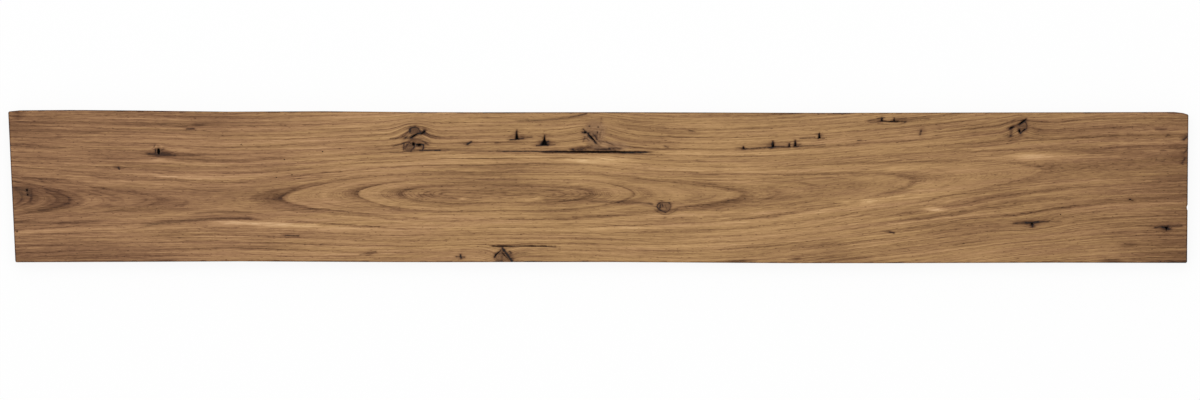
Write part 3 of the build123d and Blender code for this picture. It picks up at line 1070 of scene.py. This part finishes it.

# %% [markdown]
# ### Knots and hollows
#
# A tight knot is a branch cut across: it is darker than the trunk's wood and has rings of its
# own. Dead bark and dirt have gone brown to black. Inside a pocket there is no oil and hardly
# any light, and that shade is painted into the colour: near-black from just below the face down.

# %% Knots, stained lines and hollows
knot_edge = maths("MULTIPLY_ADD", fibres(9, 5, lift=1.1, detail=3.0), 0.5, known["knot_reach"])
knot_body = maths("MULTIPLY", soft_step(knot_edge, 1.2, 0.7), known["knot_cover"])
knot_rings = maths("PINGPONG", maths("MULTIPLY", knot_edge, 4.0), 0.5)
# A pale one, such as a knot that was cut just above its heart, hardly shows its rings
ring_contrast = maths("MULTIPLY_ADD", known["knot_pale"], -0.55, 0.55)
knot_tone = maths("MULTIPLY_ADD", knot_rings, ring_contrast, 0.1)
knot_tone = maths("MULTIPLY_ADD", known["knot_pale"], 0.85, knot_tone)
knot_tone = maths("MULTIPLY_ADD", short_streaks, 0.95, knot_tone)
knot_colours = fill_ramp(
    add(tree, "ValToRGB", [knot_tone]),
    [(0.0, linear("2c1a0f")), (0.25, linear("553822")), (0.6, linear("84603f")), (1.0, linear("b08b68"))],
)
stain_tears = maths("MULTIPLY_ADD", fibres(6, 2.0, lift=2.9, detail=3.0), 2.2, 1.05)
stain = maths("MULTIPLY", known["stained"], stain_tears)
# Painted shade: a pocket's walls turn near-black from 0.3 mm below the face downwards
pocket_shade = maths("MULTIPLY", known["in_pocket"], soft_step(depth_mm, 0.3, 1.4))

colour = blend(knot_body, elm_colours, knot_colours)
colour = blend(soft_step(stain, 0.0, 0.7), colour, linear("452915"))
colour = blend(soft_step(stain, 0.4, 0.9), colour, linear("150c08"))
# The painted pocket shade goes over all the other colours
colour = blend(pocket_shade, colour, linear("140d09"))
print("nodes up to the colour:", len(tree.nodes))

# %% [markdown]
# ### Sheen and relief
#
# The oil leaves a soft sheen. The plane cuts the fibres and leaves the vessels as fine
# grooves, a tenth of a millimetre deep, which only bump can give at this size.

# %% Finish the elm
dullness = maths("MULTIPLY_ADD", short_streaks, 0.25, 0.52)
dullness = maths("MULTIPLY_ADD", pocket_shade, 0.35, dullness)
height = maths("MULTIPLY_ADD", vessel_share, -0.5, short_streaks)
height = maths("MULTIPLY_ADD", spring_dark, -0.5, height)
relief = add(tree, "Bump", {"Height": height, "Distance": 0.15 * MM, "Strength": 0.6})
oiled = add(
    tree,
    "BsdfPrincipled",
    {
        "Base Color": colour,
        "Roughness": dullness,
        "IOR": 1.45,
        # The cut fibres stand rough and shade most of their own shine
        "Specular IOR Level": 0.2,
        "Normal": relief,
    },
)
add(tree, "OutputMaterial", {"Surface": oiled})
mesh.materials.clear()
mesh.materials.append(elm)
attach(plank, "root")
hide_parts("elm_board")
print("nodes in the elm:", len(tree.nodes))

# %% [markdown]
# ## Floor, light and camera
#
# The board lies on a plain white floor. The world gives a little more than half of the light
# and one big soft lamp the rest, so a colour of 1 facing up renders nearly as 1. To that
# light the floor is dark grey, which keeps the board's shadow faint, as in the photograph,
# and a strong glow that only the camera sees makes it white.

# %% The floor
bpy.ops.object.select_all(action="DESELECT")
bpy.ops.mesh.primitive_plane_add(size=30.0, location=(0, 0, 0))
floor = bpy.context.object
floor.name = "floor"
paper = bpy.data.materials.new("white_paper_floor")
paper.use_nodes = True
tree = paper.node_tree
tree.nodes.clear()
seen_by_eye = add(tree, "LightPath").outputs["Is Camera Ray"]
matt = add(
    tree,
    "BsdfPrincipled",
    {
        "Base Color": (0.10, 0.10, 0.10, 1.0),
        "Roughness": 1.0,
        "Specular IOR Level": 0.0,
        "Emission Color": (1.0, 1.0, 1.0, 1.0),
        "Emission Strength": maths("MULTIPLY", seen_by_eye, 0.90),
    },
)
add(tree, "OutputMaterial", {"Surface": matt})
floor.data.materials.append(paper)
print("floor in m:", [round(size, 1) for size in floor.dimensions])

# %% The world
world = bpy.data.worlds.new("studio")
bpy.context.scene.world = world
world.use_nodes = True
tree = world.node_tree
tree.nodes.clear()
seen_by_eye = add(tree, "LightPath").outputs["Is Camera Ray"]
# The camera sees the world nearly white, and the board gets just over half of that light
WORLD_LIGHT = 0.55
SEEN_WORLD = 0.98
brightness = maths("MULTIPLY_ADD", seen_by_eye, SEEN_WORLD - WORLD_LIGHT, WORLD_LIGHT)
sky = add(tree, "Background", {"Color": (1.0, 1.0, 1.0, 1.0), "Strength": brightness})
add(tree, "OutputWorld", {"Surface": sky})
print("the world's light and what the camera sees:", WORLD_LIGHT, SEEN_WORLD)

# %% The lamp
lamp_data = bpy.data.lights.new("soft_box", "AREA")
lamp_data.shape = "DISK"
lamp_data.size = 4.5
lamp_data.energy = 118.0
lamp = bpy.data.objects.new("soft_box", lamp_data)
bpy.context.scene.collection.objects.link(lamp)
lamp.location = (-0.3, 1.3, 4.6)
lamp.rotation_euler = lamp.location.to_track_quat("Z", "Y").to_euler()
print("lamp:", lamp_data.energy, "W, from", round(lamp.location.length, 2), "m away")

# %% [markdown]
# ## The camera
#
# The photograph looks straight down. Its 1200 pixels span 1836 mm of the board's face. From
# 12 m up, a long lens keeps both ends of the board as flat as they are there.

# %% The camera
PHOTO_COLUMNS = 1200
PHOTO_ROWS = 400
span_mm = PHOTO_COLUMNS * PHOTO_MM_PER_PIXEL
middle_x, middle_y = on_face(PHOTO_COLUMNS / 2, PHOTO_ROWS / 2)
camera_height = 12.0
camera_data = bpy.data.cameras.new("camera")
camera_data.sensor_fit = "HORIZONTAL"
camera_data.sensor_width = 36.0
camera_data.lens = camera_data.sensor_width * camera_height / (span_mm * MM)
camera_data.clip_end = 60.0
camera = bpy.data.objects.new("camera", camera_data)
bpy.context.scene.collection.objects.link(camera)
camera.location = (middle_x * MM, middle_y * MM, camera_height + board_thickness * MM)
bpy.context.scene.camera = camera
bpy.context.scene.view_settings.view_transform = "Standard"
print("camera over, in mm:", round(middle_x, 1), round(middle_y, 1), "lens:", round(camera_data.lens, 1))

# %% Finish
bpy.context.view_layer.update()
